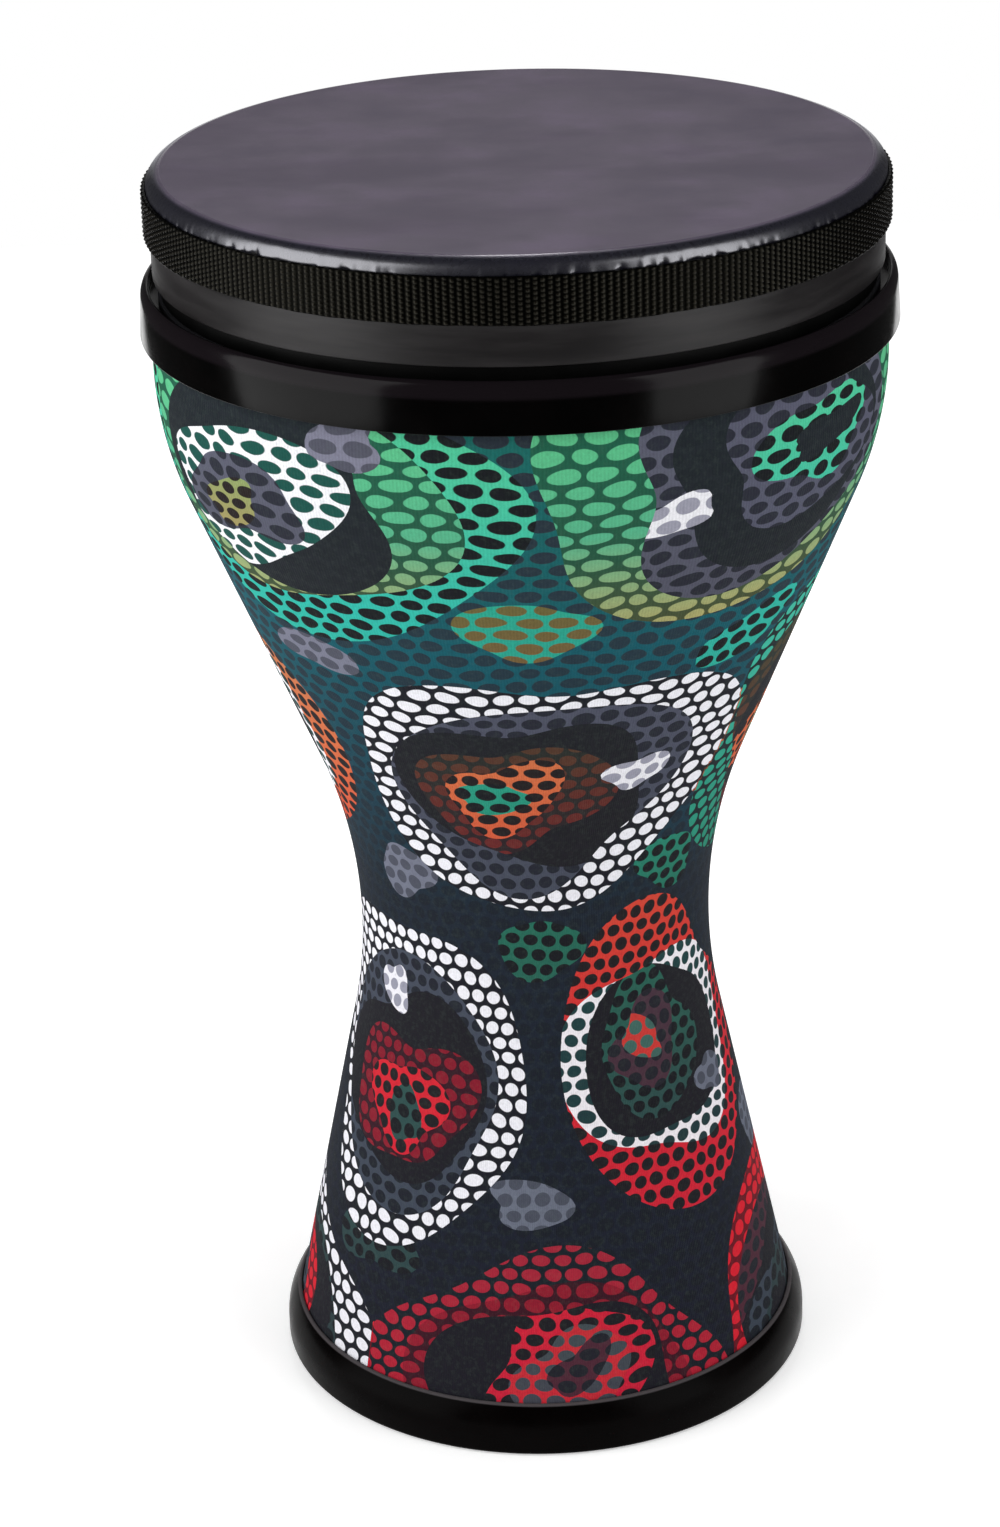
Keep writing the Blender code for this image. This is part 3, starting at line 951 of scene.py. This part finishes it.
makeCollar(mouldedPlastic("glossBlack", "020202", "040303", (0.12, 0.19), 0.10,
                          paintedLipHighlight=collar["paintedLipHighlight"]))
print("collar turned")


# foam gasket in the collar's trough

gasket = {
    "outer": 0.1480,
    "inner": 0.1444,
    "top": 0.4960,
    "bottom": 0.4940,
    "columns": 240,
    "softEdge": 0.0004,
}


def closedFoam():
    material, tree, shader = newMaterial("closedFoam", tint("26262A"), 0.95, gloss=0.15)
    own = ownCoordinates(tree)
    cells = tree.nodes.new("ShaderNodeTexVoronoi")
    cells.inputs["Scale"].default_value = 1900
    tree.links.new(own, cells.inputs["Vector"])
    # painted shade: each foam cell is painted darker towards its pit
    colour = ramp(tree, cells.outputs["Distance"], [(0.1, "1A1A1D"), (0.6, "2C2C30")])
    paint(tree, shader, colour, spread(tree, noise(tree, own, 300), 0.3, 0.7, 0.88, 1.0))
    relief(tree, shader, cells.outputs["Distance"], 0.6, 0.0002)
    return material


placeSquareRing("seatGasket", gasket, closedFoam(), "drum_shell", "seat_gasket")
print("gasket laid")


# foot ring: a rubber channel round the shell's lower edge

footRing = {
    "lipHeight": 0.0225,
    "lipWall": 0.0020,
    "lipRound": 0.0007,
    "bulge": 0.0049,
    "bulgeHeight": 0.0080,
    "footRound": 0.0020,
    "floor": 0.0047,
    "innerWall": 0.0024,
    "innerHeight": 0.0160,
    "fit": 0.0003,
    "columns": 288,
    "softEdge": 0.0006,
    # painted highlight along the lip's top edge
    "paintedLipHighlight": (0.0215, 0.0221, "4A4648"),
}


def makeFootRing(material):
    f = footRing
    inShell = goblet["sleeveDeep"] + goblet["glueGap"] + goblet["shellWall"] + f["fit"]
    inChannel = inShell + f["innerWall"]
    lipInner = gobletRadius(f["lipHeight"], -f["fit"])
    lipOuter = lipInner + f["lipWall"]
    outer = lipOuter + f["bulge"]

    # the bulge is one arc from the lip down to its widest height
    rise = f["lipHeight"] - f["lipRound"] - f["bulgeHeight"]
    roundness = (f["bulge"] ** 2 + rise ** 2) / (2 * f["bulge"])
    start = math.degrees(math.asin(rise / roundness))
    line = [(lipOuter - f["lipRound"], f["lipHeight"])]
    line += bend((outer - roundness, f["bulgeHeight"]), roundness, start, 0, 8)
    line += bend((outer - f["footRound"], f["footRound"]), f["footRound"], 0, -90, 6)
    line += [(gobletRadius(0, inChannel), 0)]
    line += [(gobletRadius(f["innerHeight"], inChannel), f["innerHeight"])]
    line += [(gobletRadius(f["innerHeight"], inShell), f["innerHeight"])]
    line += [(gobletRadius(f["floor"], inShell), f["floor"])]
    line += [(gobletRadius(f["floor"], -f["fit"]), f["floor"]), (lipInner, f["lipHeight"])]
    mesh = turn(line, f["columns"])
    roundEdges(mesh, f["softEdge"])
    place("footRing", mesh, material, "drum_shell", "foot_ring")


makeFootRing(mouldedPlastic("footRubber", "030202", "060404", (0.22, 0.34), 0.025, 0.08,
                            paintedLipHighlight=footRing["paintedLipHighlight"]))
print("foot ring moulded")


# shells: bowl and stem, and the coupler in the throat

shells = {
    "bowlTop": 0.4904,
    "joint": 0.2084,
    "jointGap": 0.00015,
    "stemBottom": 0.0050,
    "columns": 200,
    "pitch": 0.011,
    "couplerReach": 0.026,
    "softEdge": 0.0004,
}


def makeShell(name, top, bottom, depth, wall, material, node):
    line = gobletLine(top, bottom, depth, shells["pitch"])
    line += gobletLine(bottom, top, depth + wall, shells["pitch"])
    mesh = turn(line, shells["columns"])
    roundEdges(mesh, shells["softEdge"])
    place(name, mesh, material, "drum_shell", node)


def woundFibre(name, light, dark):
    material, tree, shader = newMaterial(name, tint(light), 0.7, gloss=0.25)
    own = ownCoordinates(tree)
    fibres = noise(tree, ownCoordinates(tree, (40, 40, 260)), 1.0, 5.0, 0.65)
    blotch = noise(tree, own, 18, 4.0)
    colour = ramp(tree, fibres, [(0.3, dark), (0.7, light)])
    colour = blendColour(tree, spread(tree, blotch, 0.45, 0.75, 0.0, 0.45), colour, tint(dark))
    paint(tree, shader, colour, spread(tree, fibres, 0.3, 0.7, 0.60, 0.82))
    relief(tree, shader, fibres, 0.5, 0.0004)
    return material


shellFibre = woundFibre("shellFibre", "6A5A48", "3E3226")
couplerFibre = woundFibre("couplerFibre", "7D6A50", "4C3D2A")
shellDepth = goblet["sleeveDeep"] + goblet["glueGap"]
couplerDepth = shellDepth + goblet["shellWall"] + goblet["glueGap"]
joint, jointGap, reach = shells["joint"], shells["jointGap"], shells["couplerReach"]
makeShell("bowlShell", shells["bowlTop"], joint + jointGap, shellDepth,
          goblet["shellWall"], shellFibre, "bowl_shell")
makeShell("stemShell", joint - jointGap, shells["stemBottom"], shellDepth,
          goblet["shellWall"], shellFibre, "stem_shell")
makeShell("throatCoupler", joint + reach, joint - reach, couplerDepth,
          goblet["couplerWall"], couplerFibre, "throat_coupler")
print("shells wound")


# collar screws, driven outwards from inside the bowl

screws = {
    "count": 8,
    "firstAngle": 26.25,
    "height": 0.4854,
    "seatRadius": 0.1422,
    "shankRadius": 0.00175,
    "length": 0.0117,
    "headRadius": 0.0040,
    "headHeight": 0.0024,
    "headWall": 0.001008,
    "headRound": 0.0014,
    "columns": 24,
    "socket": 0.0017,
    "socketDeep": 0.0014,
}


def makeScrew(index, material):
    s = screws
    line = [(s["shankRadius"], -s["length"]), (s["shankRadius"], 0.0)]
    line += [(s["headRadius"], 0.0), (s["headRadius"], s["headWall"])]
    line += bend((s["headRadius"] - s["headRound"], s["headHeight"] - s["headRound"]),
                 s["headRound"], 0, 80, 4)
    mesh = turn(line, s["columns"], closed=False)

    # the shank's end is closed, and a hexagon socket sinks into the head
    rims = [edge for edge in mesh.edges if edge.is_boundary]
    low = [edge for edge in rims if edge.verts[0].co.z < 0]
    high = [edge for edge in rims if edge.verts[0].co.z > 0]
    bmesh.ops.holes_fill(mesh, edges=low, sides=0)
    hexagon = bmesh.ops.create_circle(mesh, cap_ends=False, segments=6, radius=s["socket"],
                                      matrix=Matrix.Translation((0, 0, s["headHeight"])))
    hexEdges = list({edge for vert in hexagon["verts"] for edge in vert.link_edges})
    bmesh.ops.bridge_loops(mesh, edges=high + hexEdges)
    walls = bmesh.ops.extrude_edge_only(mesh, edges=hexEdges)["geom"]
    floorVerts = [part for part in walls if isinstance(part, bmesh.types.BMVert)]
    bmesh.ops.translate(mesh, verts=floorVerts, vec=(0, 0, -s["socketDeep"]))
    bmesh.ops.holes_fill(mesh, edges=[edge for edge in mesh.edges if edge.is_boundary], sides=0)
    bmesh.ops.recalc_face_normals(mesh, faces=mesh.faces)

    # turned to drive outwards, with its head inside the bowl
    angle = math.radians(s["firstAngle"] + 360 * index / s["count"])
    outwards = Vector((math.cos(angle), math.sin(angle), 0))
    seat = outwards * s["seatRadius"] + Vector((0, 0, s["height"]))
    turned = (-outwards).to_track_quat("Z", "Y").to_matrix().to_4x4()
    bmesh.ops.transform(mesh, matrix=Matrix.Translation(seat) @ turned, verts=mesh.verts)
    place(f"collarScrew{index + 1}", mesh, material, "drum_shell",
          f"collar_screw_{index + 1}")


def zincSteel():
    material, tree, shader = newMaterial("zincSteel", tint("B9BCC0"), 0.32, metallic=1.0)
    own = ownCoordinates(tree)
    brushed = noise(tree, own, 2200, 3.0)
    colour = ramp(tree, brushed, [(0.3, "9C9FA3"), (0.7, "C6C9CC")])
    paint(tree, shader, colour, spread(tree, brushed, 0.3, 0.7, 0.26, 0.42))
    relief(tree, shader, brushed, 0.2, 0.00005)
    return material


steel = zincSteel()
for screwIndex in range(screws["count"]):
    makeScrew(screwIndex, steel)
print("screws driven")


# stage, lamps and surroundings

stage = {
    "tableWide": 1.5,
    "tableFront": -0.75,     # a small pale table; the room beyond it is dim
    "tableBack": 1.8,
    "tableDrop": 0.0004,
    "nearGlow": 0.37,
    "farGlow": 0.60,
    "fill": 0.36,
    "roomGloss": 0.04,
}

# the tall boxes reach from the ground up beside the table, so the upright black rings mirror them
lamps = [
    {"name": "leftBox", "at": (-1.365, -0.62, 0.72), "aim": (0, 0, 0.45), "size": (1.52, 2.1),
     "watts": 25.5, "mirrored": True},
    {"name": "rightBox", "at": (1.22, -0.89, 0.68), "aim": (0, 0, 0.40), "size": (0.98, 2.0),
     "watts": 15.0, "mirrored": True},
    {"name": "topBox", "at": (0.2, 0.25, 2.4), "aim": (0, 0, 0.5), "size": (1.3, 1.1),
     "watts": 15.0, "mirrored": False},
    {"name": "backBox", "at": (0.0, 1.20, 1.72), "aim": (0, 0, 0.55), "size": (0.16, 0.34),
     "watts": 2.2, "mirrored": True},
]


def makeFloor():
    mesh = bmesh.new()
    bmesh.ops.create_grid(mesh, x_segments=4, y_segments=4, size=0.5)
    deep = stage["tableBack"] - stage["tableFront"]
    middle = (stage["tableBack"] + stage["tableFront"]) / 2
    bmesh.ops.scale(mesh, verts=mesh.verts, vec=(stage["tableWide"], deep, 1))
    bmesh.ops.translate(mesh, verts=mesh.verts, vec=(0, middle, -stage["tableDrop"]))
    data = bpy.data.meshes.new("floor")
    mesh.to_mesh(data)
    mesh.free()
    material, tree, shader = newMaterial("paleFloor", tint("F4F4F4"), 0.9, gloss=0.0)
    own = ownCoordinates(tree)
    grain = noise(tree, own, 40, 3.0)
    tree.links.new(ramp(tree, grain, [(0.2, "F1F1F1"), (0.8, "F7F7F7")]), shader.inputs["Base Color"])
    shader.inputs["Emission Color"].default_value = (1, 1, 1, 1)
    path = tree.nodes.new("ShaderNodeLightPath")
    seen = larger(tree, path.outputs["Is Camera Ray"], path.outputs["Is Glossy Ray"])
    seen = larger(tree, seen, path.outputs["Is Transmission Ray"])
    glow = spread(tree, axisDistance(tree, own), 0.15, 0.7, stage["nearGlow"], stage["farGlow"])
    tree.links.new(times(tree, seen, glow), shader.inputs["Emission Strength"])

    # the table is clear to an eye below it, so the drum's underside can be looked at
    side = tree.nodes.new("ShaderNodeNewGeometry")
    clear = tree.nodes.new("ShaderNodeBsdfTransparent")
    either = tree.nodes.new("ShaderNodeMixShader")
    below = times(tree, side.outputs["Backfacing"], path.outputs["Is Camera Ray"])
    output = next(node for node in tree.nodes if node.type == "OUTPUT_MATERIAL")
    for source, socket in zip((below, shader.outputs[0], clear.outputs[0]), either.inputs):
        tree.links.new(source, socket)
    tree.links.new(either.outputs[0], output.inputs["Surface"])
    data.materials.append(material)
    floor = bpy.data.objects.new("floor", data)
    bpy.context.scene.collection.objects.link(floor)


def makeSurroundings():
    # the eye and clear things find white, gloss finds a dim room with a white backdrop
    # behind the drum, and all else is fill light
    world = bpy.data.worlds.new("studio")
    world.use_nodes = True
    tree = world.node_tree
    background = tree.nodes["Background"]
    background.inputs["Color"].default_value = (1, 1, 1, 1)
    path = tree.nodes.new("ShaderNodeLightPath")
    source = tree.nodes.new("ShaderNodeTexCoord")
    ahead = splitAxes(tree, source.outputs["Generated"])[1]
    backdrop = spread(tree, ahead, 0.95, 0.985, stage["roomGloss"], 1.0, smooth=True)
    strength = blendValue(tree, path.outputs["Is Glossy Ray"], stage["fill"], backdrop)
    seen = larger(tree, path.outputs["Is Camera Ray"], path.outputs["Is Transmission Ray"])
    strength = blendValue(tree, seen, strength, 1.0)
    tree.links.new(strength, background.inputs["Strength"])
    bpy.context.scene.world = world


def makeLamp(lamp):
    data = bpy.data.lights.new(lamp["name"], "AREA")
    data.shape = "RECTANGLE"
    data.size, data.size_y = lamp["size"]
    data.energy = lamp["watts"]
    piece = bpy.data.objects.new(lamp["name"], data)
    piece.visible_glossy = lamp["mirrored"]
    aim = Vector(lamp["aim"]) - Vector(lamp["at"])
    turned = aim.to_track_quat("-Z", "Y").to_matrix().to_4x4()
    piece.matrix_world = Matrix.Translation(lamp["at"]) @ turned
    bpy.context.scene.collection.objects.link(piece)


makeFloor()
makeSurroundings()
for lamp in lamps:
    makeLamp(lamp)
bpy.context.scene.view_settings.view_transform = "Standard"
print("stage lit")
